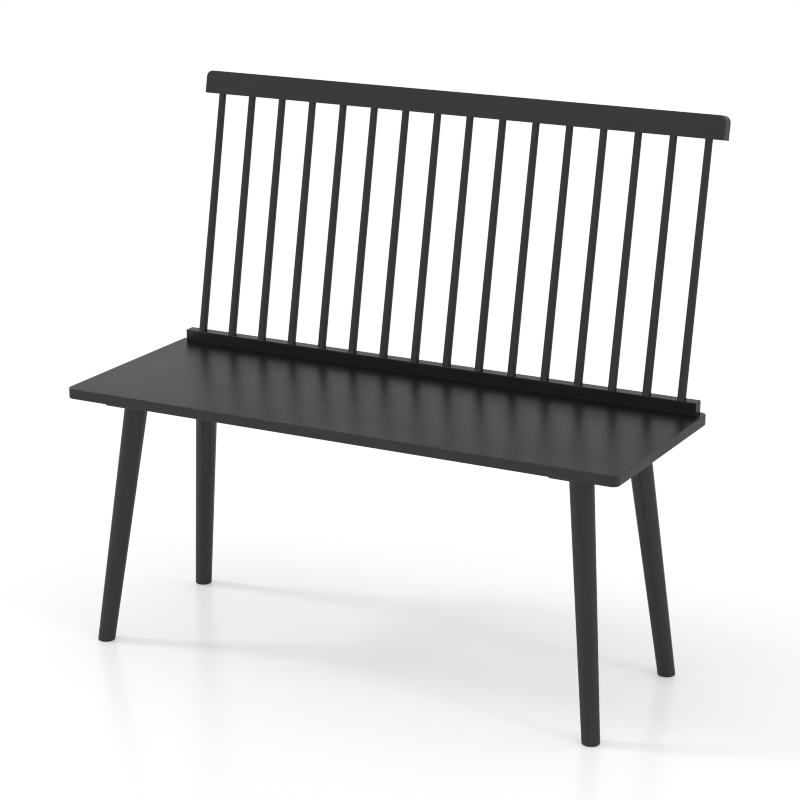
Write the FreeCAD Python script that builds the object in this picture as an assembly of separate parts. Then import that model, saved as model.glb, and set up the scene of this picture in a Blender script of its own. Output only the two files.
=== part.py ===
import FreeCAD
import Part
import math
import os

# Spindle bench for two people, painted black.
# Units are millimetres and degrees. The frame stands on the floor: +Z is up, -Y is the front where people
# sit down, and +X is to the right as seen from the front. The origin is on the floor, in the middle of the
# bench's length and of its overall depth, which runs from the seat's front edge to the back of the top rail.

# Seat panel
seat_length = 1000.0
seat_depth = 370.0
seat_thickness = 18.0
seat_height = 453.0            # floor to the seat's top face
seat_corner_radius = 12.0      # in plan
seat_edge_radius = 1.5         # easing along the top and bottom edges

# Lower rail of the back, flush with the seat's rear edge
lower_rail_width = 20.0
lower_rail_height = 20.0
rail_end_inset = 13.0          # each rail stops short of the seat's ends by this much
rail_edge_radius = 0.8

# Top rail of the back, tilted with the spindles
top_rail_height = 39.5
top_rail_thickness = 22.5
top_rail_corner_radius = 11.5  # the two upper corners, seen from the front

# Spindles
spindle_count = 16
spindle_end_margin = 29.5      # from a rail's end to the axis of the first spindle
spindle_length = 420.5         # along the axis, between the two rails
spindle_foot_diameter = 14.5
spindle_top_diameter = 12.4
back_lean_angle = 11.25        # backwards from upright
foot_tenon_diameter = 10.0
foot_tenon_length = 11.5
top_tenon_diameter = 9.0
top_tenon_length = 16.0
tenon_end_chamfer = 1.0
mortise_end_gap = 1.0          # glue space past the end of a tenon
mortise_side_gap = 0.05        # glue line around a tenon

# Legs
leg_end_inset = 92.2           # seat end to leg axis, at the seat's underside
leg_side_inset = 76.3          # seat front or rear edge to leg axis, at the seat's underside
leg_splay_angle = 6.3          # outwards, towards the seat's ends
front_leg_rake_angle = 6.4     # forwards
rear_leg_rake_angle = 5.9      # backwards
leg_top_diameter = 39.4
leg_foot_diameter = 29.5
leg_foot_radius = 2.0          # rounding where the leg meets the floor

# Mounting blocks between the legs and the seat
block_side = 78.0
block_thickness = 15.0
block_corner_radius = 3.0
block_edge_chamfer = 1.0

# Hanger bolts that hold the legs, with the threaded inserts in the blocks
hanger_bolt_diameter = 8.0
hanger_wood_length = 35.0
hanger_tip_length = 7.0
hanger_tip_diameter = 2.0
leg_insert_diameter = 12.0
leg_insert_length = 11.0
leg_insert_setback = 1.6       # from the block's underside, along the leg axis
bolt_end_chamfer = 0.8

# Countersunk screws that hold the blocks
block_screw_diameter = 4.0
block_screw_head_diameter = 8.0
block_screw_head_height = 2.4
block_screw_tip_length = 5.0
block_screw_edge_distance = 11.0
wood_above_screw_tip = 5.0     # what is left of the seat's thickness over a screw's tip
cross_slot_width = 1.0
cross_slot_length = 4.4
cross_slot_depth = 1.6

# Bolts that hold the back, with their washers and the inserts in the lower rail
rail_bolt_count = 5
rail_bolt_gap_count = 3        # spindle gaps from one bolt to the next, each bolt between two spindles
rail_bolt_diameter = 6.0
rail_bolt_head_diameter = 10.5
rail_bolt_head_height = 3.3
rail_bolt_head_chamfer = 1.6
rail_bolt_bite = 10.0          # thread inside the insert
hex_key_size = 4.0
hex_key_depth = 2.0
washer_diameter = 14.0
washer_thickness = 1.2
rail_insert_diameter = 9.0
rail_insert_length = 12.0
bolt_hole_gap = 0.5            # around a bolt where it passes freely
thread_gap = 0.05              # around a thread or an insert where it grips

# Places that follow from the sizes above
lean = math.radians(back_lean_angle)
up_the_back = FreeCAD.Vector(0, math.sin(lean), math.cos(lean))
out_of_the_back = FreeCAD.Vector(0, -math.cos(lean), math.sin(lean))

foot_row_setback = seat_depth - lower_rail_width / 2
overall_depth = (
    foot_row_setback
    + (spindle_length + top_rail_height) * math.sin(lean)
    + top_rail_thickness / 2 * math.cos(lean)
)
seat_front_y = -overall_depth / 2
seat_rear_y = seat_front_y + seat_depth
seat_middle_y = (seat_front_y + seat_rear_y) / 2
seat_underside_z = seat_height - seat_thickness
block_underside_z = seat_underside_z - block_thickness

rail_length = seat_length - 2 * rail_end_inset
rail_middle_y = seat_rear_y - lower_rail_width / 2
lower_rail_top_z = seat_height + lower_rail_height
spindle_pitch = (rail_length - 2 * spindle_end_margin) / (spindle_count - 1)
first_spindle_x = -rail_length / 2 + spindle_end_margin

# Each leg: which end of the seat, which edge of the seat, and its rake
LEGS = {
    "front_left": (-1, -1, front_leg_rake_angle),
    "front_right": (1, -1, front_leg_rake_angle),
    "rear_left": (-1, 1, rear_leg_rake_angle),
    "rear_right": (1, 1, rear_leg_rake_angle),
}


def vector(x, y, z):
    return FreeCAD.Vector(x, y, z)


def turned(profile, base, direction):
    """A solid of revolution. The profile is a list of (radius, height) corners that starts and ends on the
    axis; the solid stands on base, with its axis along direction."""
    corners = [vector(radius, 0, height) for radius, height in profile]
    face = Part.Face(Part.makePolygon(corners + corners[:1]))
    solid = face.revolve(vector(0, 0, 0), vector(0, 0, 1), 360)
    solid.Placement = FreeCAD.Placement(base, FreeCAD.Rotation(vector(0, 0, 1), direction))
    return solid


def rod(diameter, base, direction, length):
    return Part.makeCylinder(diameter / 2, length, base, direction)


def block_of_wood(low, high):
    return Part.makeBox(high.x - low.x, high.y - low.y, high.z - low.z, low)


def rounded_rectangle(width, depth, radius, centre):
    """A level face with four rounded corners."""
    rectangle = Part.makePlane(width, depth, centre - vector(width / 2, depth / 2, 0))
    slab = rectangle.extrude(vector(0, 0, 1))
    uprights = [edge for edge in slab.Edges if is_along(edge, vector(0, 0, 1))]
    rounded = slab.makeFillet(radius, uprights)
    return min(rounded.Faces, key=lambda face: face.CenterOfMass.z)


def is_along(edge, direction):
    if not isinstance(edge.Curve, Part.Line):
        return False
    return abs(abs(edge.Curve.Direction.dot(direction)) - 1) < 1e-6


def level_edges(solid, z):
    """The edges that lie in the level plane at height z."""
    box_of = [(edge, edge.BoundBox) for edge in solid.Edges]
    return [edge for edge, box in box_of if abs(box.ZMin - z) < 1e-4 and abs(box.ZMax - z) < 1e-4]


# Back: places along the rails

def spindle_foot(index):
    """Where the axis of a spindle leaves the top of the lower rail."""
    return vector(first_spindle_x + index * spindle_pitch, rail_middle_y, lower_rail_top_z)


def spindle_top(index):
    """Where the axis of a spindle enters the underside of the top rail."""
    return spindle_foot(index) + up_the_back * spindle_length


def rail_bolt_places():
    """The rail bolts on the seat's underside, each halfway between two spindles."""
    middle_gap = (spindle_count - 1) / 2
    half = (rail_bolt_count - 1) / 2
    places = []
    for index in range(rail_bolt_count):
        gap = middle_gap + (index - half) * rail_bolt_gap_count
        x = first_spindle_x + gap * spindle_pitch
        places.append(vector(x, rail_middle_y, seat_underside_z))
    return places


# Legs: places and directions

def leg_direction(name):
    """Up along the axis of a leg."""
    end, side, rake = LEGS[name]
    outwards = end * math.tan(math.radians(leg_splay_angle))
    along_y = side * math.tan(math.radians(rake))
    return vector(-outwards, -along_y, 1).normalize()


def leg_point(name, z):
    """The point at height z on the axis of a leg."""
    end, side, rake = LEGS[name]
    x = end * (seat_length / 2 - leg_end_inset)
    y = seat_middle_y + side * (seat_depth / 2 - leg_side_inset)
    direction = leg_direction(name)
    return vector(x, y, seat_underside_z) + direction * ((z - seat_underside_z) / direction.z)


def block_centre(name):
    """The middle of a block, in plan on the leg's axis halfway up the block."""
    middle = leg_point(name, block_underside_z + block_thickness / 2)
    return vector(middle.x, middle.y, block_underside_z)


def block_screw_places(name):
    """The four screws on the underside of one block."""
    reach = block_side / 2 - block_screw_edge_distance
    centre = block_centre(name)
    return [centre + vector(sx * reach, sy * reach, 0) for sx in (-1, 1) for sy in (-1, 1)]


# Seat

def seat_panel():
    outline = rounded_rectangle(
        seat_length, seat_depth, seat_corner_radius, vector(0, seat_middle_y, seat_underside_z)
    )
    panel = outline.extrude(vector(0, 0, seat_thickness))
    rims = level_edges(panel, seat_underside_z) + level_edges(panel, seat_height)
    panel = panel.makeFillet(seat_edge_radius, rims)
    holes = [
        rod(rail_bolt_diameter + 2 * bolt_hole_gap, place, vector(0, 0, 1), seat_thickness)
        for place in rail_bolt_places()
    ]
    for name in LEGS:
        holes += [block_screw(place, thread_gap) for place in block_screw_places(name)]
    return panel.cut(holes)


# Back

def mortise(diameter, length, base, direction):
    """A blind hole for a tenon. It starts a little outside the wood, so that it cuts a clean mouth."""
    lead = diameter
    return rod(
        diameter + 2 * mortise_side_gap, base - direction * lead, direction, lead + length + mortise_end_gap
    )


def back_lower_rail():
    low = vector(-rail_length / 2, rail_middle_y - lower_rail_width / 2, seat_height)
    high = vector(rail_length / 2, rail_middle_y + lower_rail_width / 2, lower_rail_top_z)
    rail = block_of_wood(low, high)
    top_edges = level_edges(rail, lower_rail_top_z)
    uprights = [edge for edge in rail.Edges if is_along(edge, vector(0, 0, 1))]
    rail = rail.makeFillet(rail_edge_radius, top_edges + uprights)
    holes = [
        mortise(foot_tenon_diameter, foot_tenon_length, spindle_foot(index), up_the_back * -1)
        for index in range(spindle_count)
    ]
    for place in rail_bolt_places():
        mouth = vector(place.x, place.y, seat_height)
        depth = rail_insert_length + mortise_end_gap
        holes.append(rod(rail_insert_diameter + 2 * thread_gap, mouth, vector(0, 0, 1), depth))
    return rail.cut(holes)


def back_top_rail():
    """A bar with two rounded upper corners, tilted back so that its underside is square to the spindles."""
    half_length = rail_length / 2
    radius = top_rail_corner_radius
    shoulder = top_rail_height - radius
    bow = radius * math.sqrt(0.5)
    front_middle = spindle_top(0) + out_of_the_back * (top_rail_thickness / 2)

    def corner(x, height):
        return vector(x, front_middle.y, front_middle.z) + up_the_back * height

    def round_corner(side, start, end):
        centre_x = side * (half_length - radius)
        return Part.Arc(start, corner(centre_x + side * bow, shoulder + bow), end).toShape()

    lower_left = corner(-half_length, 0)
    lower_right = corner(half_length, 0)
    right_shoulder = corner(half_length, shoulder)
    left_shoulder = corner(-half_length, shoulder)
    upper_right = corner(half_length - radius, top_rail_height)
    upper_left = corner(-half_length + radius, top_rail_height)
    outline = Part.Wire([
        Part.LineSegment(lower_left, lower_right).toShape(),
        Part.LineSegment(lower_right, right_shoulder).toShape(),
        round_corner(1, right_shoulder, upper_right),
        Part.LineSegment(upper_right, upper_left).toShape(),
        round_corner(-1, upper_left, left_shoulder),
        Part.LineSegment(left_shoulder, lower_left).toShape(),
    ])
    rail = Part.Face(outline).extrude(out_of_the_back * -top_rail_thickness)
    across = [edge for edge in rail.Edges if is_along(edge, out_of_the_back)]
    rims = [edge for edge in rail.Edges if not any(edge.isSame(other) for other in across)]
    rail = rail.makeFillet(rail_edge_radius, rims)
    holes = [
        mortise(top_tenon_diameter, top_tenon_length, spindle_top(index), up_the_back)
        for index in range(spindle_count)
    ]
    return rail.cut(holes)


def tenon(diameter, length, base, direction, root):
    """A round tenon with a chamfered end. It starts root millimetres inside the piece that carries it."""
    radius = diameter / 2
    profile = [
        (0, -root),
        (radius, -root),
        (radius, length - tenon_end_chamfer),
        (radius - tenon_end_chamfer, length),
        (0, length),
    ]
    return turned(profile, base, direction)


def back_spindle(index):
    """A straight taper with a tenon at each end. Its foot is cut level, to sit flat on the lower rail."""
    foot = spindle_foot(index)
    top = spindle_top(index)
    foot_radius = spindle_foot_diameter / 2
    top_radius = spindle_top_diameter / 2
    spare = foot_radius
    taper = (foot_radius - top_radius) / spindle_length
    body = Part.makeCone(
        foot_radius + taper * spare,
        top_radius,
        spindle_length + spare,
        foot - up_the_back * spare,
        up_the_back,
    )
    below_rail_top = block_of_wood(
        foot - vector(spindle_foot_diameter, spindle_foot_diameter, spindle_foot_diameter),
        foot + vector(spindle_foot_diameter, spindle_foot_diameter, 0),
    )
    body = body.cut(below_rail_top)
    foot_tenon = tenon(foot_tenon_diameter, foot_tenon_length, foot, up_the_back * -1, foot_radius)
    top_tenon = tenon(top_tenon_diameter, top_tenon_length, top, up_the_back, top_radius)
    return body.fuse([foot_tenon, top_tenon]).removeSplitter()


# Legs and their blocks

def leg_block(name):
    centre = block_centre(name)
    outline = rounded_rectangle(block_side, block_side, block_corner_radius, centre)
    block = outline.extrude(vector(0, 0, block_thickness))
    block = block.makeChamfer(block_edge_chamfer, level_edges(block, block_underside_z))
    direction = leg_direction(name)
    lead = leg_insert_diameter
    mouth = leg_point(name, block_underside_z)
    bore_length = block_thickness / direction.z + 2 * lead
    cuts = [rod(leg_insert_diameter + 2 * thread_gap, mouth - direction * lead, direction, bore_length)]
    cuts += [block_screw(place, thread_gap) for place in block_screw_places(name)]
    return block.cut(cuts)


def leg(name):
    """A turned taper, cut level at the floor and under its block, with a bore for the hanger bolt."""
    direction = leg_direction(name)
    foot = leg_point(name, 0)
    length = block_underside_z / direction.z
    top_radius = leg_top_diameter / 2
    foot_radius = leg_foot_diameter / 2
    taper = (top_radius - foot_radius) / length
    spare = leg_top_diameter
    cone = Part.makeCone(
        foot_radius - taper * spare,
        top_radius + taper * spare,
        length + 2 * spare,
        foot - direction * spare,
        direction,
    )
    half_room = block_underside_z
    between_floor_and_block = block_of_wood(
        vector(foot.x - half_room, foot.y - half_room, 0),
        vector(foot.x + half_room, foot.y + half_room, block_underside_z),
    )
    solid = cone.common(between_floor_and_block)
    solid = solid.makeFillet(leg_foot_radius, level_edges(solid, 0))
    top = leg_point(name, block_underside_z)
    lead = leg_top_diameter / 2
    bore = rod(
        hanger_bolt_diameter + 2 * thread_gap,
        top + direction * lead,
        direction * -1,
        lead + hanger_wood_length + mortise_end_gap,
    )
    return solid.cut(bore)


# Fasteners

def leg_hanger_bolt(name):
    """Pointed wood thread below, machine thread above. It ends under the seat, inside the block."""
    radius = hanger_bolt_diameter / 2
    direction = leg_direction(name)
    tilt = math.acos(direction.z)
    reach = block_thickness / direction.z - radius * math.tan(tilt) - mortise_end_gap
    profile = [
        (0, -hanger_wood_length),
        (hanger_tip_diameter / 2, -hanger_wood_length),
        (radius, hanger_tip_length - hanger_wood_length),
        (radius, reach - bolt_end_chamfer),
        (radius - bolt_end_chamfer, reach),
        (0, reach),
    ]
    return turned(profile, leg_point(name, block_underside_z), direction)


def leg_threaded_insert(name):
    direction = leg_direction(name)
    base = leg_point(name, block_underside_z) + direction * leg_insert_setback
    sleeve = rod(leg_insert_diameter, base, direction, leg_insert_length)
    return sleeve.cut(rod(hanger_bolt_diameter + 2 * thread_gap, base, direction, leg_insert_length))


def block_screw(place, gap=0.0):
    """A countersunk screw from below, or, with a gap all round, the hole that it makes for itself."""
    radius = block_screw_diameter / 2 + gap
    head_radius = block_screw_head_diameter / 2 + gap
    length = block_thickness + seat_thickness - wood_above_screw_tip + gap
    profile = [
        (0, 0),
        (head_radius, 0),
        (radius, block_screw_head_height),
        (radius, length - block_screw_tip_length),
        (0, length),
    ]
    return turned(profile, place, vector(0, 0, 1))


def slotted_block_screw(place):
    """The screw itself, with a cross recess in its head."""
    half_width = cross_slot_width / 2
    half_length = cross_slot_length / 2
    along_x = block_of_wood(
        place - vector(half_length, half_width, cross_slot_depth),
        place + vector(half_length, half_width, cross_slot_depth),
    )
    along_y = block_of_wood(
        place - vector(half_width, half_length, cross_slot_depth),
        place + vector(half_width, half_length, cross_slot_depth),
    )
    return block_screw(place).cut([along_x, along_y])


def hexagon_socket(place):
    """The recess for the key, in the underside of a bolt head."""
    corner_radius = hex_key_size / math.sqrt(3)
    angles = [math.radians(60 * step) for step in range(6)]
    corners = [
        place + vector(corner_radius * math.cos(angle), corner_radius * math.sin(angle), 0)
        for angle in angles
    ]
    return Part.Face(Part.makePolygon(corners + corners[:1])).extrude(vector(0, 0, hex_key_depth))


def rail_bolt(place):
    """A low-head bolt from below, through its washer and the seat, into the insert in the lower rail."""
    radius = rail_bolt_diameter / 2
    head_radius = rail_bolt_head_diameter / 2
    under_head = place - vector(0, 0, washer_thickness)
    length = washer_thickness + seat_thickness + rail_bolt_bite
    profile = [
        (0, -rail_bolt_head_height),
        (head_radius - rail_bolt_head_chamfer, -rail_bolt_head_height),
        (head_radius, rail_bolt_head_chamfer - rail_bolt_head_height),
        (head_radius, 0),
        (radius, 0),
        (radius, length - bolt_end_chamfer),
        (radius - bolt_end_chamfer, length),
        (0, length),
    ]
    bolt = turned(profile, under_head, vector(0, 0, 1))
    return bolt.cut(hexagon_socket(under_head - vector(0, 0, rail_bolt_head_height)))


def rail_bolt_washer(place):
    base = place - vector(0, 0, washer_thickness)
    disc = rod(washer_diameter, base, vector(0, 0, 1), washer_thickness)
    return disc.cut(rod(rail_bolt_diameter + bolt_hole_gap, base, vector(0, 0, 1), washer_thickness))


def rail_threaded_insert(place):
    base = vector(place.x, place.y, seat_height)
    sleeve = rod(rail_insert_diameter, base, vector(0, 0, 1), rail_insert_length)
    return sleeve.cut(rod(rail_bolt_diameter + 2 * thread_gap, base, vector(0, 0, 1), rail_insert_length))


def group(solids):
    return Part.makeCompound(solids)


def all_nodes():
    """Every node of the bench: its name and its shape."""
    nodes = {
        "seat_panel": seat_panel(),
        "back_lower_rail": back_lower_rail(),
        "back_top_rail": back_top_rail(),
    }
    for index in range(spindle_count):
        nodes[f"back_spindle_{index + 1:02d}"] = back_spindle(index)
    for name in LEGS:
        nodes[f"leg_{name}"] = leg(name)
        nodes[f"leg_block_{name}"] = leg_block(name)
    nodes["leg_hanger_bolts"] = group([leg_hanger_bolt(name) for name in LEGS])
    nodes["leg_threaded_inserts"] = group([leg_threaded_insert(name) for name in LEGS])
    nodes["block_screws"] = group(
        [slotted_block_screw(place) for name in LEGS for place in block_screw_places(name)]
    )
    nodes["rail_bolts"] = group([rail_bolt(place) for place in rail_bolt_places()])
    nodes["rail_bolt_washers"] = group([rail_bolt_washer(place) for place in rail_bolt_places()])
    nodes["rail_threaded_inserts"] = group([rail_threaded_insert(place) for place in rail_bolt_places()])
    return nodes


os.makedirs("parts", exist_ok=True)
for node_name, shape in all_nodes().items():
    shape.exportStep(f"parts/{node_name}.step")
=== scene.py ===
import math

import bmesh
import bpy
from bpy.props import FloatProperty, FloatVectorProperty, IntProperty, PointerProperty
from mathutils import Matrix, Vector


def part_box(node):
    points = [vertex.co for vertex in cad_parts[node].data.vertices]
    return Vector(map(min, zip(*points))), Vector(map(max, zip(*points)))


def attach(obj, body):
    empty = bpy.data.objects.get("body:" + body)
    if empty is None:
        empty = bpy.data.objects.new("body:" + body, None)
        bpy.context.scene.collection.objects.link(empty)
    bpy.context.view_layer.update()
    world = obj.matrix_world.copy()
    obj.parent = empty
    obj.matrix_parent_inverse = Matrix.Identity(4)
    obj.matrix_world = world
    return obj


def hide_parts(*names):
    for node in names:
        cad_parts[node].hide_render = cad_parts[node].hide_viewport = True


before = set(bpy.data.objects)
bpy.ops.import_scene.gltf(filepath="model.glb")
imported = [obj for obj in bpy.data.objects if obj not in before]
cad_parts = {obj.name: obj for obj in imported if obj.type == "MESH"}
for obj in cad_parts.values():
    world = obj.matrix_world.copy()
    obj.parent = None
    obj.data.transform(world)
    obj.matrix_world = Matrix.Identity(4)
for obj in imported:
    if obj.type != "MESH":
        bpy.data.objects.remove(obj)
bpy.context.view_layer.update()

bl_info = {
    "name": "Spindle Bench",
    "version": (1, 0, 0),
    "blender": (4, 5, 0),
    "location": "3D View > Sidebar > Bench",
    "description": "Finishes the wood, makes the fasteners and sets the studio of a black spindle bench",
    "category": "Object",
}

BODY = "root"
UP = Vector((0, 0, 1))
ALONG = Vector((1, 0, 0))
# Points nearer than this are one point
WELD = 1e-6
# A Mix node's colour sockets go by number, because its other sockets share their names
COLOUR_A = 6
COLOUR_B = 7
MIXED_COLOUR = 2
# Nearly all values of a noise texture lie between these two
NOISE_LOW = 0.3
NOISE_HIGH = 0.7
# How far a modelled fastener stays inside the solid that it stands for
MARGIN = 0.00005
# A threaded bore has this much play all round its bolt
BORE_PLAY = 0.00008
# The shape that cuts a bore reaches this far past both of its ends
BORE_REACH = 0.0010

LEG_NAMES = ("front_left", "front_right", "rear_left", "rear_right")
SPINDLES = sorted(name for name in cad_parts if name.startswith("back_spindle_"))
RAILS = ("back_lower_rail", "back_top_rail")


def srgb(code):
    """The linear colour, with alpha, of an sRGB hex value."""
    channels = [int(code[start:start + 2], 16) / 255 for start in (1, 3, 5)]
    linear = [c / 12.92 if c <= 0.04045 else ((c + 0.055) / 1.055) ** 2.4 for c in channels]
    return (*linear, 1.0)


# Places, read from the frame

def solids_of(node):
    """The lowest and highest corner of each separate solid in a node, from left to right."""
    mesh = bmesh.new()
    mesh.from_mesh(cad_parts[node].data)
    bmesh.ops.remove_doubles(mesh, verts=mesh.verts, dist=WELD)
    boxes = []
    unseen = set(mesh.verts)
    while unseen:
        waiting = [unseen.pop()]
        solid = list(waiting)
        while waiting:
            for edge in waiting.pop().link_edges:
                near = [vert for vert in edge.verts if vert in unseen]
                unseen.difference_update(near)
                waiting += near
                solid += near
        low = Vector([min(vert.co[axis] for vert in solid) for axis in range(3)])
        high = Vector([max(vert.co[axis] for vert in solid) for axis in range(3)])
        boxes.append((low, high))
    mesh.free()
    return sorted(boxes, key=lambda box: (round(box[0].x, 4), round(box[0].y, 4)))


def section_centre(node, z):
    """The middle of a node's level face at height z."""
    near = 1e-5
    level = [vert.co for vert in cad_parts[node].data.vertices if abs(vert.co.z - z) < near]
    spread = [[min(co[axis] for co in level), max(co[axis] for co in level)] for axis in (0, 1)]
    return Vector((sum(spread[0]) / 2, sum(spread[1]) / 2, z))


def leg_axis(name):
    """The top of a leg's axis, under its block, and the direction up along it."""
    low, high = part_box(f"leg_{name}")
    foot = section_centre(f"leg_{name}", low.z)
    top = section_centre(f"leg_{name}", high.z)
    return top, (top - foot).normalized()


def spindle_axis():
    """The direction up along a spindle, from the end of its lower tenon to the end of its upper one."""
    places = [vert.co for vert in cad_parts[SPINDLES[0]].data.vertices]
    low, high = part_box(SPINDLES[0])
    rough = Vector((0, high.y - low.y, high.z - low.z)).normalized()
    along = [place.dot(rough) for place in places]
    near = 0.001
    foot = [place for place, reach in zip(places, along) if reach < min(along) + near]
    head = [place for place, reach in zip(places, along) if reach > max(along) - near]
    middles = [Vector([(min(p[axis] for p in end) + max(p[axis] for p in end)) / 2 for axis in range(3)])
               for end in (foot, head)]
    return (middles[1] - middles[0]).normalized()


# Settings that a user would change

class BenchPaint(bpy.types.PropertyGroup):
    paint: FloatVectorProperty(
        name="Paint", description="Colour of the satin black lacquer", default=srgb("#070706"),
        subtype="COLOR", size=4, min=0, max=1)
    thin_paint: FloatVectorProperty(
        name="Thin paint", description="Colour where the lacquer is thin, along rubbed edges",
        default=srgb("#4a463f"), subtype="COLOR", size=4, min=0, max=1)
    roughness: FloatProperty(
        name="Roughness", description="Roughness of the satin lacquer", default=0.32,
        min=0, max=1, subtype="FACTOR")
    low_angle_sheen: FloatProperty(
        name="Low-angle sheen", description="Mirroring at a low angle, where clear lacquer has 0.5",
        default=0.12, min=0, max=1, subtype="FACTOR")
    pore_width: FloatProperty(
        name="Pore width", description="Width across the grain of the pores that show through",
        default=0.0011, unit="LENGTH", precision=5)
    pore_depth: FloatProperty(
        name="Pore depth", description="How far the lacquer sinks into the pores",
        default=0.00004, unit="LENGTH", precision=6)
    peel_size: FloatProperty(
        name="Orange peel", description="Width of the ripples that spraying leaves in the lacquer",
        default=0.0035, unit="LENGTH", precision=5)
    peel_depth: FloatProperty(
        name="Orange peel depth", description="Height of those ripples",
        default=0.00002, unit="LENGTH", precision=6)
    edge_width: FloatProperty(
        name="Edge wear", description="Width of the rubbed band along an edge",
        default=0.0028, unit="LENGTH", precision=5)


class BenchFasteners(bpy.types.PropertyGroup):
    zinc: FloatVectorProperty(
        name="Zinc plating", description="Colour of the bright zinc plating", default=srgb("#c3c6ca"),
        subtype="COLOR", size=4, min=0, max=1)
    insert_metal: FloatVectorProperty(
        name="Insert metal", description="Colour of the cast zinc alloy", default=srgb("#9a9b9d"),
        subtype="COLOR", size=4, min=0, max=1)
    bolt_pitch: FloatProperty(
        name="Rail bolt pitch", description="Thread pitch of the rail bolts", default=0.0010,
        unit="LENGTH", precision=5)
    key_size: FloatProperty(
        name="Key size", description="Width across the flats of the rail bolts' sockets",
        default=0.0040, unit="LENGTH", precision=5)
    screw_pitch: FloatProperty(
        name="Block screw pitch", description="Thread pitch of the block screws", default=0.0018,
        unit="LENGTH", precision=5)
    hanger_pitch: FloatProperty(
        name="Hanger bolt pitch", description="Machine thread pitch of the hanger bolts",
        default=0.00125, unit="LENGTH", precision=5)
    segments: IntProperty(
        name="Segments", description="Sides of a turned fastener", default=32, min=12, max=96)


class BenchStudio(bpy.types.PropertyGroup):
    floor: FloatVectorProperty(
        name="Floor", description="Colour of the studio floor", default=srgb("#ffffff"),
        subtype="COLOR", size=4, min=0, max=1)
    view_azimuth: FloatProperty(
        name="View azimuth", description="How far the camera stands round to the bench's right",
        default=math.radians(28.0977), subtype="ANGLE")
    view_elevation: FloatProperty(
        name="View elevation", description="How far the camera looks down", default=math.radians(16.6705),
        subtype="ANGLE")
    view_distance: FloatProperty(
        name="View distance", description="From the camera to the middle of the bench",
        default=4.07513, unit="LENGTH", precision=4)
    view_aim: FloatVectorProperty(
        name="View aim", description="The point that the camera looks at",
        default=(0.01064, -0.00095, 0.44323), subtype="TRANSLATION", size=3, precision=4)
    lens: FloatProperty(
        name="Lens", description="Focal length in millimetres on a 36 mm sensor", default=110.51, min=10)
    room_light: FloatProperty(
        name="Room light", description="Strength of the even light from the room, where 1 is white",
        default=0.89, min=0)
    left_power: FloatProperty(
        name="Left lamp", description="Power of the soft lamp at the bench's left, in watts",
        default=355.0, min=0)
    right_power: FloatProperty(
        name="Right lamp", description="Power of the soft lamp at the bench's right, in watts",
        default=135.0, min=0)


# Materials

def add_node(tree, kind, inputs=None, **settings):
    """Adds a node with its settings. An input takes a value, or the socket that feeds it."""
    node = tree.nodes.new(kind)
    for name, value in settings.items():
        setattr(node, name, value)
    for name, value in (inputs or {}).items():
        if isinstance(value, bpy.types.NodeSocket):
            tree.links.new(value, node.inputs[name])
        else:
            node.inputs[name].default_value = value
    return node


def new_material(name):
    """An empty material: its node tree and its output node."""
    material = bpy.data.materials.new(name)
    material.use_nodes = True
    tree = material.node_tree
    tree.nodes.clear()
    return material, tree, add_node(tree, "ShaderNodeOutputMaterial")


def along_edges(tree, reach):
    """A mask that is 1 along outer edges, rounded ones too: there the far side of the solid is near."""
    inside = add_node(
        tree, "ShaderNodeAmbientOcclusion", {"Distance": reach}, inside=True, only_local=True, samples=6)
    # How open the inside is behind a flat side, and behind an edge
    room_at_flat, room_at_edge = 0.80, 0.35
    edge = add_node(tree, "ShaderNodeMapRange", {
        "Value": inside.outputs["AO"], "From Min": room_at_flat, "From Max": room_at_edge,
    })
    return edge.outputs["Result"]


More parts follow.
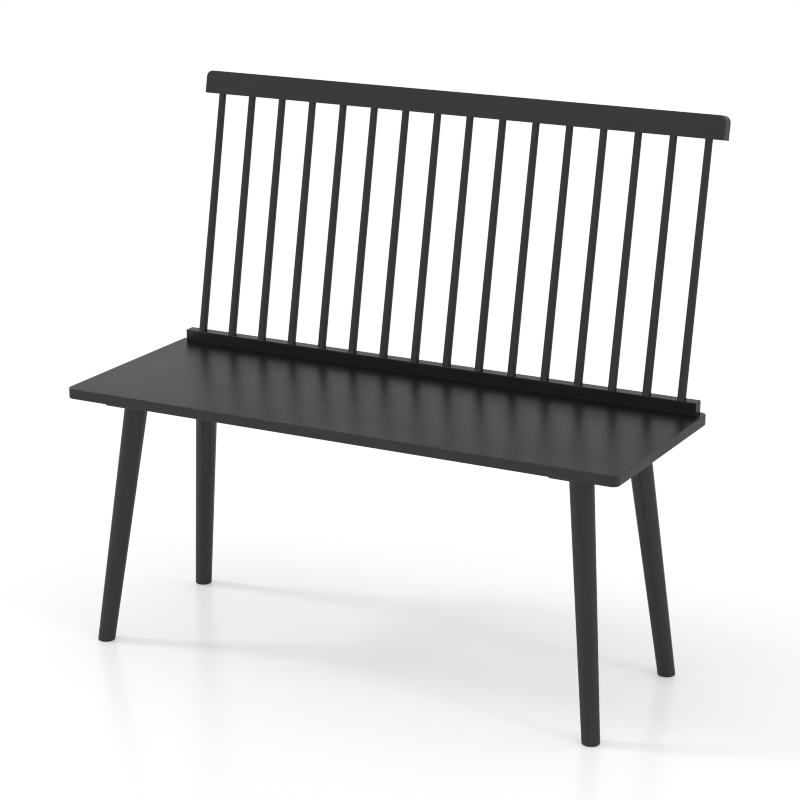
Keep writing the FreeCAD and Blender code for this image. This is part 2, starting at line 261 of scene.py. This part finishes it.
def satin_black_lacquer(name, on_axis, direction):
    """Satin black lacquer, sprayed over sanded rubberwood. The eye sees an even, soft sheen that the pores
    along the grain, the ripples of the spray and thinner paint along the edges break up a little."""
    paint = bpy.context.scene.bench_paint
    material, tree, output = new_material(name)
    turn = UP.rotation_difference(direction).to_euler()
    place = add_node(tree, "ShaderNodeTexCoord").outputs["Object"]

    # Rubberwood pores are about 0.3 mm wide and 3 mm long; they are drawn larger so that they show
    stretch = 14
    grain = add_node(tree, "ShaderNodeMapping", {
        "Vector": place, "Location": on_axis, "Rotation": turn, "Scale": (1, 1, stretch),
    }, vector_type="TEXTURE")
    fibres = add_node(tree, "ShaderNodeTexNoise", {
        "Vector": grain.outputs["Vector"], "Scale": 1 / paint.pore_width, "Detail": 2.0, "Roughness": 0.6,
    })
    # The lowest part of the noise becomes pores, and the rest stays level
    pore_floor, pore_rim = 0.32, 0.44
    pores = add_node(tree, "ShaderNodeMapRange", {
        "Value": fibres.outputs["Fac"], "From Min": pore_floor, "From Max": pore_rim,
    }, interpolation_type="SMOOTHSTEP")
    # Growth rings, about 9 mm apart, tint the paint very slightly
    ring_spacing = 0.009
    rings = add_node(tree, "ShaderNodeTexNoise", {
        "Vector": grain.outputs["Vector"], "Scale": 1 / ring_spacing, "Detail": 3.0, "Roughness": 0.5,
        "Distortion": 0.4,
    })
    peel = add_node(tree, "ShaderNodeTexNoise", {
        "Vector": place, "Scale": 1 / paint.peel_size, "Detail": 1.0, "Roughness": 0.4,
    })
    # Hands and cloths leave broad patches, about 90 mm wide, of slightly different sheen
    patch_width = 0.09
    handling = add_node(tree, "ShaderNodeTexNoise", {
        "Vector": place, "Scale": 1 / patch_width, "Detail": 3.0, "Roughness": 0.5,
    })
    rubbed = add_node(tree, "ShaderNodeMath", {
        0: along_edges(tree, paint.edge_width), 1: handling.outputs["Fac"],
    }, operation="MULTIPLY")

    most_tint = 0.05
    ring_tint = add_node(tree, "ShaderNodeMapRange", {
        "Value": rings.outputs["Fac"], "From Min": NOISE_LOW, "From Max": NOISE_HIGH,
        "To Min": 0.0, "To Max": most_tint,
    })
    tinted = add_node(tree, "ShaderNodeMix", {
        "Factor": ring_tint.outputs["Result"], COLOUR_A: paint.paint, COLOUR_B: paint.thin_paint,
    }, data_type="RGBA")
    worn = add_node(tree, "ShaderNodeMix", {
        "Factor": rubbed.outputs["Value"], COLOUR_A: tinted.outputs[MIXED_COLOUR],
        COLOUR_B: paint.thin_paint,
    }, data_type="RGBA")

    spread = 0.02
    sheen = add_node(tree, "ShaderNodeMapRange", {
        "Value": handling.outputs["Fac"], "From Min": NOISE_LOW, "From Max": NOISE_HIGH,
        "To Min": paint.roughness - spread, "To Max": paint.roughness + spread,
    })
    smoother_edge = -0.10
    polished = add_node(tree, "ShaderNodeMath", {
        0: rubbed.outputs["Value"], 1: smoother_edge, 2: sheen.outputs["Result"],
    }, operation="MULTIPLY_ADD", use_clamp=True)
    # Flatting powder in a satin lacquer breaks up its mirror sheen, and most of all at a low angle.
    # Facing is 0 for a face seen straight on and 1 for one seen edge on.
    facing = add_node(tree, "ShaderNodeLayerWeight", {"Blend": 0.5}).outputs["Facing"]
    clear_until, flat_from = 0.2, 0.70
    clear_sheen = 0.5
    flatted = add_node(tree, "ShaderNodeMapRange", {
        "Value": facing, "From Min": clear_until, "From Max": flat_from,
        "To Min": clear_sheen, "To Max": paint.low_angle_sheen,
    }, interpolation_type="SMOOTHSTEP")

    pore_bump = add_node(tree, "ShaderNodeBump", {
        "Strength": 1.0, "Distance": paint.pore_depth, "Height": pores.outputs["Result"],
    })
    ripple_bump = add_node(tree, "ShaderNodeBump", {
        "Strength": 1.0, "Distance": paint.peel_depth, "Height": peel.outputs["Fac"],
        "Normal": pore_bump.outputs["Normal"],
    })
    shader = add_node(tree, "ShaderNodeBsdfPrincipled", {
        "Base Color": worn.outputs[MIXED_COLOUR], "Roughness": polished.outputs["Value"], "IOR": 1.49,
        "Specular IOR Level": flatted.outputs["Result"], "Normal": ripple_bump.outputs["Normal"],
    })
    tree.links.new(shader.outputs["BSDF"], output.inputs["Surface"])
    return material


def small_metal_part(name, colour, dull_colour, roughness, cloud):
    """The surface of a small tumbled metal part. The eye sees grey metal with faint clouds of duller
    metal, of the given width, fine dents that break up its glints, and brighter edges where the parts
    rubbed together."""
    material, tree, output = new_material(name)
    place = add_node(tree, "ShaderNodeTexCoord").outputs["Object"]
    clouds = add_node(tree, "ShaderNodeTexNoise", {
        "Vector": place, "Scale": 1 / cloud, "Detail": 4.0, "Roughness": 0.6,
    })
    # Tumbling dents are about 0.1 mm wide; they are drawn wider so that they show
    dent_width, dent_depth = 0.0004, 0.00001
    dents = add_node(tree, "ShaderNodeTexNoise", {
        "Vector": place, "Scale": 1 / dent_width, "Detail": 2.0,
    })
    most_dulled = 0.6
    shade = add_node(tree, "ShaderNodeMapRange", {
        "Value": clouds.outputs["Fac"], "From Min": NOISE_LOW, "From Max": NOISE_HIGH,
        "To Min": 0.0, "To Max": most_dulled,
    })
    dulled = add_node(tree, "ShaderNodeMix", {
        "Factor": shade.outputs["Result"], COLOUR_A: colour, COLOUR_B: dull_colour,
    }, data_type="RGBA")
    edge_width = 0.0005
    burnished = along_edges(tree, edge_width)
    bright = add_node(tree, "ShaderNodeMix", {
        "Factor": burnished, COLOUR_A: dulled.outputs[MIXED_COLOUR], COLOUR_B: colour,
    }, data_type="RGBA")
    spread = 0.08
    dull = add_node(tree, "ShaderNodeMapRange", {
        "Value": clouds.outputs["Fac"], "From Min": NOISE_LOW, "From Max": NOISE_HIGH,
        "To Min": roughness - spread, "To Max": roughness + spread,
    })
    smoother_edge = -0.08
    polished = add_node(tree, "ShaderNodeMath", {
        0: burnished, 1: smoother_edge, 2: dull.outputs["Result"],
    }, operation="MULTIPLY_ADD", use_clamp=True)
    bump = add_node(tree, "ShaderNodeBump", {
        "Strength": 1.0, "Distance": dent_depth, "Height": dents.outputs["Fac"],
    })
    shader = add_node(tree, "ShaderNodeBsdfPrincipled", {
        "Base Color": bright.outputs[MIXED_COLOUR], "Metallic": 1.0,
        "Roughness": polished.outputs["Value"], "Normal": bump.outputs["Normal"],
    })
    tree.links.new(shader.outputs["BSDF"], output.inputs["Surface"])
    return material


def zinc_plated_steel():
    """Bright zinc plating on steel: light, slightly blue grey, clouded by handling."""
    zinc = bpy.context.scene.bench_fasteners.zinc
    return small_metal_part(
        "bright_zinc_plated_steel", zinc, dull_colour=srgb("#8f9194"), roughness=0.30, cloud=0.004)


def cast_zinc():
    """A bare zinc casting: an even, duller grey with a slightly grainy skin."""
    metal = bpy.context.scene.bench_fasteners.insert_metal
    return small_metal_part(
        "bare_cast_zinc", metal, dull_colour=srgb("#77787a"), roughness=0.48, cloud=0.003)


def finish_node(node, material):
    """Gives a piece of the frame its finish."""
    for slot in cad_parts[node].material_slots:
        slot.material = material


# Wood

class BENCH_OT_seat(bpy.types.Operator):
    """Lacquers the seat panel, with its grain along the bench"""
    bl_idname = "bench.seat"
    bl_label = "Seat panel"

    def execute(self, context):
        low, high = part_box("seat_panel")
        middle = (low + high) / 2
        finish_node("seat_panel", satin_black_lacquer("satin_black_seat_board", middle, ALONG))
        return {"FINISHED"}


class BENCH_OT_rails(bpy.types.Operator):
    """Lacquers the two rails of the back, with their grain along the bench"""
    bl_idname = "bench.rails"
    bl_label = "Rails"

    def execute(self, context):
        for rail in RAILS:
            low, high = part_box(rail)
            middle = (low + high) / 2
            finish_node(rail, satin_black_lacquer(f"satin_black_{rail}", middle, ALONG))
        return {"FINISHED"}


class BENCH_OT_spindles(bpy.types.Operator):
    """Lacquers the sixteen spindles, with their grain along each one"""
    bl_idname = "bench.spindles"
    bl_label = "Spindles"

    def execute(self, context):
        low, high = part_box(SPINDLES[0])
        middle = (low + high) / 2
        lacquer = satin_black_lacquer("satin_black_turned_spindle", middle, spindle_axis())
        for spindle in SPINDLES:
            finish_node(spindle, lacquer)
        return {"FINISHED"}


class BENCH_OT_legs(bpy.types.Operator):
    """Lacquers the four legs, with their grain along each one"""
    bl_idname = "bench.legs"
    bl_label = "Legs"

    def execute(self, context):
        for name in LEG_NAMES:
            top, direction = leg_axis(name)
            finish_node(f"leg_{name}", satin_black_lacquer(f"satin_black_turned_leg_{name}", top, direction))
        return {"FINISHED"}


class BENCH_OT_blocks(bpy.types.Operator):
    """Lacquers the four blocks under the seat, with their grain along the bench"""
    bl_idname = "bench.blocks"
    bl_label = "Leg blocks"

    def execute(self, context):
        lacquer = satin_black_lacquer("satin_black_leg_block", Vector((0, 0, 0)), ALONG)
        for name in LEG_NAMES:
            finish_node(f"leg_block_{name}", lacquer)
        return {"FINISHED"}


# Fasteners

def deselect():
    """Goes back to object mode with nothing selected."""
    if bpy.context.object and bpy.context.object.mode != "OBJECT":
        bpy.ops.object.mode_set(mode="OBJECT")
    bpy.ops.object.select_all(action="DESELECT")


def pick_only(piece):
    """Makes a piece the active one and the only one selected."""
    deselect()
    piece.select_set(True)
    bpy.context.view_layer.objects.active = piece


def apply_place():
    """Moves the selected piece's place, turn and scale into its mesh."""
    bpy.ops.object.transform_apply(location=True, rotation=True, scale=True)


def pick_points(wanted):
    """In edit mode, selects just the vertices whose place is wanted."""
    bpy.ops.mesh.select_mode(type="VERT")
    bpy.ops.mesh.select_all(action="DESELECT")
    mesh = bmesh.from_edit_mesh(bpy.context.object.data)
    for vert in mesh.verts:
        vert.select_set(wanted(vert.co))
    mesh.select_flush(True)
    bmesh.update_edit_mesh(bpy.context.object.data)


def pick_level_face(z):
    """In edit mode, selects just the level faces at height z."""
    bpy.ops.mesh.select_mode(type="FACE")
    bpy.ops.mesh.select_all(action="DESELECT")
    mesh = bmesh.from_edit_mesh(bpy.context.object.data)
    for face in mesh.faces:
        level = abs(face.normal.z) > 0.99
        face.select_set(level and abs(face.calc_center_median().z - z) < WELD)
    bmesh.update_edit_mesh(bpy.context.object.data)


def pull_face(z, rise, share=1.0):
    """In edit mode, extrudes the level face at height z upward, and scales it to a share of its width."""
    pick_level_face(z)
    bpy.ops.mesh.extrude_region_move(TRANSFORM_OT_translate={"value": (0, 0, rise)})
    bpy.ops.transform.resize(value=(share, share, 1), center_override=(0, 0, z + rise))


def round_face(z, width, steps):
    """In edit mode, rounds the edge of the level face at height z."""
    pick_level_face(z)
    bpy.ops.mesh.bevel(offset=width, segments=steps, affect="EDGES")


def turned_blank(radius, bottom, top):
    """A short cylinder on the Z axis, left in edit mode."""
    deselect()
    bpy.ops.mesh.primitive_cylinder_add(
        vertices=bpy.context.scene.bench_fasteners.segments, radius=radius, depth=top - bottom,
        location=(0, 0, (top + bottom) / 2))
    apply_place()
    bpy.ops.object.mode_set(mode="EDIT")
    return bpy.context.object


def threaded_rod(crest, root, pitch, bottom, top, sharp=False):
    """A closed rod on the Z axis with a right-hand thread. A sharp one, for wood, has a thin crest and a
    wide root. The turns are counted from z = 0, so a bolt fits the insert that is made around it."""
    first = math.floor(bottom / pitch) - 1
    turns = math.ceil(top / pitch) + 1 - first
    deselect()
    # The left side of an upright grid becomes one turn's outline
    bpy.ops.mesh.primitive_grid_add(
        x_subdivisions=1, y_subdivisions=4, size=pitch,
        location=(crest + pitch / 2, 0, (first + 0.5) * pitch), rotation=(math.pi / 2, 0, 0))
    apply_place()
    bpy.ops.object.mode_set(mode="EDIT")
    pick_points(lambda co: co.x > crest + pitch / 2)
    bpy.ops.mesh.delete(type="VERT")
    # The groove is this part of a turn, and the outline has a point at each quarter
    groove_start = 0.1 if sharp else 0.4
    groove_end = 0.9
    pick_points(lambda co: groove_start < co.z / pitch - first < groove_end)
    bpy.ops.transform.translate(value=(root - crest, 0, 0))
    bpy.ops.object.mode_set(mode="OBJECT")

    rod = bpy.context.object
    wind = rod.modifiers.new("wind", "SCREW")
    wind.screw_offset = pitch
    wind.iterations = turns
    wind.steps = wind.render_steps = bpy.context.scene.bench_fasteners.segments
    wind.use_merge_vertices = True
    wind.merge_threshold = WELD
    bpy.ops.object.modifier_apply(modifier=wind.name)

    bpy.ops.object.mode_set(mode="EDIT")
    bpy.ops.mesh.select_all(action="SELECT")
    bpy.ops.mesh.remove_doubles(threshold=WELD)
    bpy.ops.mesh.select_all(action="SELECT")
    bpy.ops.mesh.bisect(
        plane_co=(0, 0, bottom), plane_no=(0, 0, 1), use_fill=True, clear_inner=True, threshold=WELD)
    bpy.ops.mesh.select_all(action="SELECT")
    bpy.ops.mesh.bisect(
        plane_co=(0, 0, top), plane_no=(0, 0, 1), use_fill=True, clear_outer=True, threshold=WELD)
    bpy.ops.mesh.select_all(action="SELECT")
    bpy.ops.mesh.normals_make_consistent(inside=False)
    bpy.ops.object.mode_set(mode="OBJECT")
    return rod


def point_rod(rod, start, top, share):
    """Narrows a rod evenly from height start to a share of its width at its top end."""
    pick_only(rod)
    bottom = min(vert.co.z for vert in rod.data.vertices)
    bpy.context.scene.cursor.location = (0, 0, start)
    bpy.ops.object.origin_set(type="ORIGIN_CURSOR")
    taper = rod.modifiers.new("taper", "SIMPLE_DEFORM")
    taper.deform_method = "TAPER"
    taper.deform_axis = "Z"
    taper.factor = share - 1
    taper.limits = ((start - bottom) / (top - bottom), 1)
    bpy.ops.object.modifier_apply(modifier=taper.name)
    apply_place()


def combine(piece, tool, operation):
    """Joins a tool shape to a piece, or cuts or trims the piece with it, and removes the tool."""
    pick_only(piece)
    change = piece.modifiers.new("change", "BOOLEAN")
    change.operation = operation
    change.object = tool
    change.solver = "EXACT"
    bpy.ops.object.modifier_apply(modifier=change.name)
    pick_only(tool)
    bpy.ops.object.delete()


def set_copies(model, name, places):
    """Sets a copy of the model at each place, joins the copies into one piece and removes the model."""
    copies = []
    for place in places:
        pick_only(model)
        bpy.ops.object.duplicate(linked=False)
        bpy.context.object.matrix_world = place
        apply_place()
        copies.append(bpy.context.object)
    pick_only(model)
    bpy.ops.object.delete()
    for each in copies:
        each.select_set(True)
    bpy.context.view_layer.objects.active = copies[0]
    bpy.ops.object.join()
    piece = bpy.context.object
    piece.name = name
    piece.data.name = name
    bpy.ops.object.mode_set(mode="EDIT")
    bpy.ops.mesh.select_all(action="SELECT")
    bpy.ops.mesh.remove_doubles(threshold=WELD / 10)
    bpy.ops.object.mode_set(mode="OBJECT")
    # Turned faces are shaded smooth, and edges sharper than this stay crisp
    crisp_angle = math.radians(35)
    bpy.ops.object.shade_smooth_by_angle(angle=crisp_angle)
    return piece


def hand_over(piece, node, material):
    """Lets a finished piece stand for a node of the frame."""
    piece.data.materials.clear()
    piece.data.materials.append(material)
    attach(piece, BODY)
    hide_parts(node)


def upright_places(node):
    """Where each solid of a node stands: its underside, in the middle."""
    places = []
    for low, high in solids_of(node):
        places.append(Matrix.Translation(((low.x + high.x) / 2, (low.y + high.y) / 2, low.z)))
    return places


def leg_places():
    """Where each leg's fasteners stand: on its axis under the block, turned along it."""
    places = []
    for name in LEG_NAMES:
        top, direction = leg_axis(name)
        places.append(Matrix.Translation(top) @ UP.rotation_difference(direction).to_matrix().to_4x4())
    return places


def metric_rod(crest, pitch, bottom, top):
    """A rod with a metric thread, which is about six tenths of its pitch deep."""
    return threaded_rod(crest, crest - 0.6 * pitch, pitch, bottom, top)


def rail_bolt_thread(bottom, top, play=0.0):
    """M6 thread. The play widens it for cutting the insert."""
    crest = 0.00296
    return metric_rod(crest + play, bpy.context.scene.bench_fasteners.bolt_pitch, bottom, top)


def hanger_bolt_thread(bottom, top, play=0.0):
    """M8 thread. The play widens it for cutting the insert."""
    crest = 0.00395
    return metric_rod(crest + play, bpy.context.scene.bench_fasteners.hanger_pitch, bottom, top)


def insert_sleeve(radius, depth, pitch, bottom, top):
    """The outside of an insert: a rod with a coarse thread, whose groove is cut to the given depth."""
    return threaded_rod(radius - 2 * MARGIN, radius - depth, pitch, bottom, top)


class BENCH_OT_rail_bolts(bpy.types.Operator):
    """Makes the low-head bolts that hold the back: domed head, hexagon socket and M6 thread"""
    bl_idname = "bench.rail_bolts"
    bl_label = "Rail bolts"

    def execute(self, context):
        low, high = solids_of("rail_bolts")[0]
        head_radius = (high.x - low.x) / 2 - MARGIN
        washer_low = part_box("rail_bolt_washers")[0]
        head_height = washer_low.z - low.z
        length = high.z - low.z

        bolt = turned_blank(head_radius, 0, head_height)
        round_face(0, width=0.0017, steps=6)
        round_face(head_height, width=0.0002, steps=2)

        # The hexagon socket ends in the cone that the drill leaves
        socket_depth, cone_depth, cone_tip = 0.0020, 0.0005, 0.15
        deselect()
        bpy.ops.mesh.primitive_cylinder_add(
            vertices=6, radius=context.scene.bench_fasteners.key_size / math.sqrt(3),
            depth=2 * socket_depth, rotation=(0, 0, math.radians(30)))
        apply_place()
        key = context.object
        bpy.ops.object.mode_set(mode="EDIT")
        pull_face(socket_depth, cone_depth, cone_tip)
        combine(bolt, key, "DIFFERENCE")

        # The thread starts inside the head. A wider rod, chamfered and a hair shorter, trims its end
        into_head, trim_radius, hair = 0.0002, 0.0031, 0.00001
        end = length - hair
        thread = rail_bolt_thread(head_height - into_head, length)
        trim = turned_blank(trim_radius, 0, end)
        round_face(end, width=0.0008, steps=1)
        combine(thread, trim, "INTERSECT")
        combine(bolt, thread, "UNION")

        piece = set_copies(bolt, "rail_bolts_made", upright_places("rail_bolts"))
        hand_over(piece, "rail_bolts", zinc_plated_steel())
        return {"FINISHED"}


class BENCH_OT_rail_inserts(bpy.types.Operator):
    """Makes the inserts in the lower rail: coarse thread outside, M6 thread inside"""
    bl_idname = "bench.rail_inserts"
    bl_label = "Rail inserts"

    def execute(self, context):
        low, high = solids_of("rail_threaded_inserts")[0]
        bolt_head = solids_of("rail_bolts")[0][0].z
        bottom = low.z - bolt_head
        top = high.z - bolt_head
        sleeve = insert_sleeve((high.x - low.x) / 2, depth=0.0008, pitch=0.0020, bottom=bottom, top=top)
        bore = rail_bolt_thread(bottom - BORE_REACH, top + BORE_REACH, play=BORE_PLAY)
        combine(sleeve, bore, "DIFFERENCE")
        piece = set_copies(sleeve, "rail_threaded_inserts_made", upright_places("rail_bolts"))
        hand_over(piece, "rail_threaded_inserts", cast_zinc())
        return {"FINISHED"}


class BENCH_OT_washers(bpy.types.Operator):
    """Finishes the washers under the bolt heads as zinc-plated steel"""
    bl_idname = "bench.washers"
    bl_label = "Washers"

    def execute(self, context):
        finish_node("rail_bolt_washers", zinc_plated_steel())
        return {"FINISHED"}


class BENCH_OT_block_screws(bpy.types.Operator):
    """Makes the countersunk screws that hold the blocks: cross recess, plain neck and pointed thread"""
    bl_idname = "bench.block_screws"
    bl_label = "Block screws"

    def execute(self, context):
        low, high = solids_of("block_screws")[0]
        head_radius = (high.x - low.x) / 2 - MARGIN
        length = high.z - low.z
        rim, head_height = 0.0003, 0.0024
        neck_radius, neck_top = 0.0016, 0.0100
        neck_slope, neck_end = 0.0004, 0.7

        screw = turned_blank(head_radius, 0, rim)
        round_face(0, width=0.00015, steps=2)
        pull_face(rim, head_height - rim, neck_radius / head_radius)
        pull_face(head_height, neck_top - head_height)
        pull_face(neck_top, neck_slope, neck_end)

        # Two crossed blades, half as wide at their ends, cut the cross recess
        recess_length, recess_width, recess_depth = 0.0044, 0.0010, 0.0016
        for turn in (0, math.pi / 2):
            deselect()
            bpy.ops.mesh.primitive_cube_add(
                size=1, scale=(recess_length, recess_width, 2 * recess_depth), rotation=(0, 0, turn))
            apply_place()
            blade = context.object
            bpy.ops.object.mode_set(mode="EDIT")
            pick_level_face(recess_depth)
            bpy.ops.transform.resize(value=(0.5, 0.5, 1), center_override=(0, 0, recess_depth))
            combine(screw, blade, "DIFFERENCE")

        crest, root, into_neck = 0.00195, 0.00125, 0.0010
        tip_length, tip_share = 0.0050, 0.05
        pitch = context.scene.bench_fasteners.screw_pitch
        thread = threaded_rod(crest, root, pitch, neck_top - into_neck, length, sharp=True)
        point_rod(thread, length - tip_length, length, tip_share)
        combine(screw, thread, "UNION")

        piece = set_copies(screw, "block_screws_made", upright_places("block_screws"))
        hand_over(piece, "block_screws", zinc_plated_steel())
        return {"FINISHED"}


class BENCH_OT_hanger_bolts(bpy.types.Operator):
    """Makes the double-ended bolts of the legs: pointed wood thread below, M8 thread above"""
    bl_idname = "bench.hanger_bolts"
    bl_label = "Hanger bolts"

    def execute(self, context):
        # The bolt slants, so its end lies a little lower along its axis than its highest corner
        top, direction = leg_axis("front_left")
        end_slant = 0.0010
        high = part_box("leg_hanger_bolts")[1]
        reach = (high.z - top.z) / direction.z - end_slant

        # The wood thread is made pointing up, then turned to point down
        crest, root, pitch = 0.00395, 0.00270, 0.0032
        wood_length, tip_length, tip_share = 0.0350, 0.0070, 0.2
        collar = 0.0040
        bolt = threaded_rod(crest, root, pitch, collar / 2, wood_length, sharp=True)
        point_rod(bolt, wood_length - tip_length, wood_length, tip_share)
        pick_only(bolt)
        bolt.rotation_euler = (math.pi, 0, 0)
        apply_place()

        collar_radius = 0.0036
        neck = turned_blank(collar_radius, -collar, collar / 2)
        combine(bolt, neck, "UNION")

        # A wider rod, chamfered and a hair shorter, trims the end of the machine thread
        trim_radius = 0.0041
        end = reach - MARGIN
        thread = hanger_bolt_thread(collar / 4, reach)
        trim = turned_blank(trim_radius, 0, end)
        round_face(end, width=0.0010, steps=1)
        combine(thread, trim, "INTERSECT")
        combine(bolt, thread, "UNION")

        piece = set_copies(bolt, "leg_hanger_bolts_made", leg_places())
        hand_over(piece, "leg_hanger_bolts", zinc_plated_steel())
        return {"FINISHED"}


class BENCH_OT_leg_inserts(bpy.types.Operator):
    """Makes the inserts in the blocks: coarse thread outside, M8 thread inside"""
    bl_idname = "bench.leg_inserts"
    bl_label = "Leg inserts"

    def execute(self, context):
        # It slants, so its box doesn't give its sizes: heights along the leg's axis from the leg's top
        bottom, length, radius = 0.0016, 0.0110, 0.0060
        top = bottom + length
        sleeve = insert_sleeve(radius, depth=0.0010, pitch=0.0025, bottom=bottom, top=top)
        bore = hanger_bolt_thread(bottom - BORE_REACH, top + BORE_REACH, play=BORE_PLAY)
        combine(sleeve, bore, "DIFFERENCE")
        piece = set_copies(sleeve, "leg_threaded_inserts_made", leg_places())
        hand_over(piece, "leg_threaded_inserts", cast_zinc())
        return {"FINISHED"}


# Studio

def soft_lamp(name, azimuth, elevation, distance, size, power):
    """A square soft lamp that looks at the bench's middle."""
    aim = Vector((0, 0, 0.45))
    towards = Vector((
        math.cos(azimuth) * math.cos(elevation),
        math.sin(azimuth) * math.cos(elevation),
        math.sin(elevation),
    ))
    bpy.ops.object.light_add(type="AREA", location=aim + towards * distance)
    lamp = bpy.context.object
    lamp.name = name
    lamp.rotation_euler = towards.to_track_quat("Z", "Y").to_euler()
    lamp.data.shape = "SQUARE"
    lamp.data.size = size
    lamp.data.energy = power


def seen_directly(tree):
    """1 for what the camera sees, straight, mirrored or through something clear, and 0 for plain light."""
    path = add_node(tree, "ShaderNodeLightPath")
    mirrored = add_node(tree, "ShaderNodeMath", {
        0: path.outputs["Is Camera Ray"], 1: path.outputs["Is Glossy Ray"],
    }, operation="MAXIMUM")
    seen = add_node(tree, "ShaderNodeMath", {
        0: mirrored.outputs["Value"], 1: path.outputs["Is Transmission Ray"],
    }, operation="MAXIMUM")
    return seen.outputs["Value"]


def white_room(strength):
    """An even white room. Its light on the bench has the given strength, and it looks plain white."""
    world = bpy.data.worlds.new("white_room")
    bpy.context.scene.world = world
    world.use_nodes = True
    tree = world.node_tree
    tree.nodes.clear()
    output = add_node(tree, "ShaderNodeOutputWorld")
    level = add_node(tree, "ShaderNodeMix", {"Factor": seen_directly(tree), "A": strength, "B": 1.0})
    light = add_node(tree, "ShaderNodeBackground", {
        "Color": srgb("#ffffff"), "Strength": level.outputs["Result"],
    })
    tree.links.new(light.outputs["Background"], output.inputs["Surface"])


def studio_floor(colour, reach):
    """A pale, slightly glossy floor. To the eye and in reflections it fades into the white room, away
    from the bench; from below it is clear."""
    # A hair below the feet, so that the two faces don't flicker where they meet
    drop = 0.0003
    bpy.ops.mesh.primitive_circle_add(vertices=96, radius=reach, fill_type="NGON", location=(0, 0, -drop))
    floor = bpy.context.object
    floor.name = "studio_floor"
    material, tree, output = new_material("studio_floor_white")
    place = add_node(tree, "ShaderNodeTexCoord").outputs["Object"]
    distance = add_node(tree, "ShaderNodeVectorMath", {0: place}, operation="LENGTH")
    fade_radius, least_fade = 2.4, 0.22
    fade = add_node(tree, "ShaderNodeMapRange", {
        "Value": distance.outputs["Value"], "From Min": 0.0, "From Max": fade_radius,
        "To Min": least_fade, "To Max": 1.0,
    }, interpolation_type="SMOOTHSTEP")
    faded_where_seen = add_node(tree, "ShaderNodeMath", {
        0: fade.outputs["Result"], 1: seen_directly(tree),
    }, operation="MULTIPLY")
    plain = add_node(tree, "ShaderNodeBsdfPrincipled", {
        "Base Color": colour, "Roughness": 0.23, "IOR": 1.45,
    })
    white = add_node(tree, "ShaderNodeEmission", {"Color": srgb("#ffffff"), "Strength": 1.0})
    clear = add_node(tree, "ShaderNodeBsdfTransparent")
    faded = add_node(tree, "ShaderNodeMixShader", {
        "Fac": faded_where_seen.outputs["Value"], 1: plain.outputs["BSDF"], 2: white.outputs["Emission"],
    })
    from_below = add_node(tree, "ShaderNodeNewGeometry").outputs["Backfacing"]
    shown = add_node(tree, "ShaderNodeMixShader", {
        "Fac": from_below, 1: faded.outputs["Shader"], 2: clear.outputs["BSDF"],
    })
    tree.links.new(shown.outputs["Shader"], output.inputs["Surface"])
    floor.data.materials.append(material)


class BENCH_OT_studio(bpy.types.Operator):
    """Sets the floor, the white room, the two soft lamps and the camera"""
    bl_idname = "bench.studio"
    bl_label = "Studio"

    def execute(self, context):
        studio = context.scene.bench_studio
        studio_floor(studio.floor, reach=6.0)
        white_room(studio.room_light)
        lamps = (("left_lamp", 194.8, studio.left_power), ("right_lamp", -7.5, studio.right_power))
        for name, degrees, power in lamps:
            soft_lamp(
                name, math.radians(degrees), elevation=math.radians(40.5), distance=12.0, size=2.0,
                power=power)

        azimuth, elevation = studio.view_azimuth, studio.view_elevation
        back = Vector((
            math.sin(azimuth) * math.cos(elevation),
            -math.cos(azimuth) * math.cos(elevation),
            math.sin(elevation),
        ))
        bpy.ops.object.camera_add(location=Vector(studio.view_aim) + back * studio.view_distance)
        camera = context.object
        camera.name = "camera"
        camera.rotation_euler = (math.pi / 2 - elevation, 0, azimuth)
        camera.data.lens = studio.lens
        context.scene.camera = camera
        # A pixel filter narrower than the usual 1.5 keeps the outlines of the thin spindles crisp
        context.scene.cycles.filter_width = 1.1
        context.scene.view_settings.view_transform = "Standard"
        return {"FINISHED"}


OPERATORS = (
    BENCH_OT_seat,
    BENCH_OT_rails,
    BENCH_OT_spindles,
    BENCH_OT_legs,
    BENCH_OT_blocks,
    BENCH_OT_rail_bolts,
    BENCH_OT_washers,
    BENCH_OT_rail_inserts,
    BENCH_OT_block_screws,
    BENCH_OT_hanger_bolts,
    BENCH_OT_leg_inserts,
    BENCH_OT_studio,
)


class BENCH_PT_sidebar(bpy.types.Panel):
    """Lists the bench's settings and the steps that build it"""
    bl_idname = "BENCH_PT_sidebar"
    bl_label = "Spindle Bench"
    bl_space_type = "VIEW_3D"
    bl_region_type = "UI"
    bl_category = "Bench"

    def draw(self, context):
        for group in (context.scene.bench_paint, context.scene.bench_fasteners, context.scene.bench_studio):
            box = self.layout.box()
            for name in group.__annotations__:
                box.prop(group, name)
        for operator in OPERATORS:
            self.layout.operator(operator.bl_idname)


CLASSES = (BenchPaint, BenchFasteners, BenchStudio, *OPERATORS, BENCH_PT_sidebar)


def register():
    for each in CLASSES:
        bpy.utils.register_class(each)
    bpy.types.Scene.bench_paint = PointerProperty(type=BenchPaint)
    bpy.types.Scene.bench_fasteners = PointerProperty(type=BenchFasteners)
    bpy.types.Scene.bench_studio = PointerProperty(type=BenchStudio)


def unregister():
    del bpy.types.Scene.bench_studio
    del bpy.types.Scene.bench_fasteners
    del bpy.types.Scene.bench_paint
    for each in reversed(CLASSES):
        bpy.utils.unregister_class(each)


def main():
    """Builds the bench's looks step by step."""
    register()
    bpy.ops.object.select_all(action="DESELECT")
    bpy.ops.bench.seat()
    bpy.ops.bench.rails()
    bpy.ops.bench.spindles()
    bpy.ops.bench.legs()
    bpy.ops.bench.blocks()
    bpy.ops.bench.rail_bolts()
    bpy.ops.bench.washers()
    bpy.ops.bench.rail_inserts()
    bpy.ops.bench.block_screws()
    bpy.ops.bench.hanger_bolts()
    bpy.ops.bench.leg_inserts()
    bpy.ops.bench.studio()


if __name__ == "__main__":
    main()
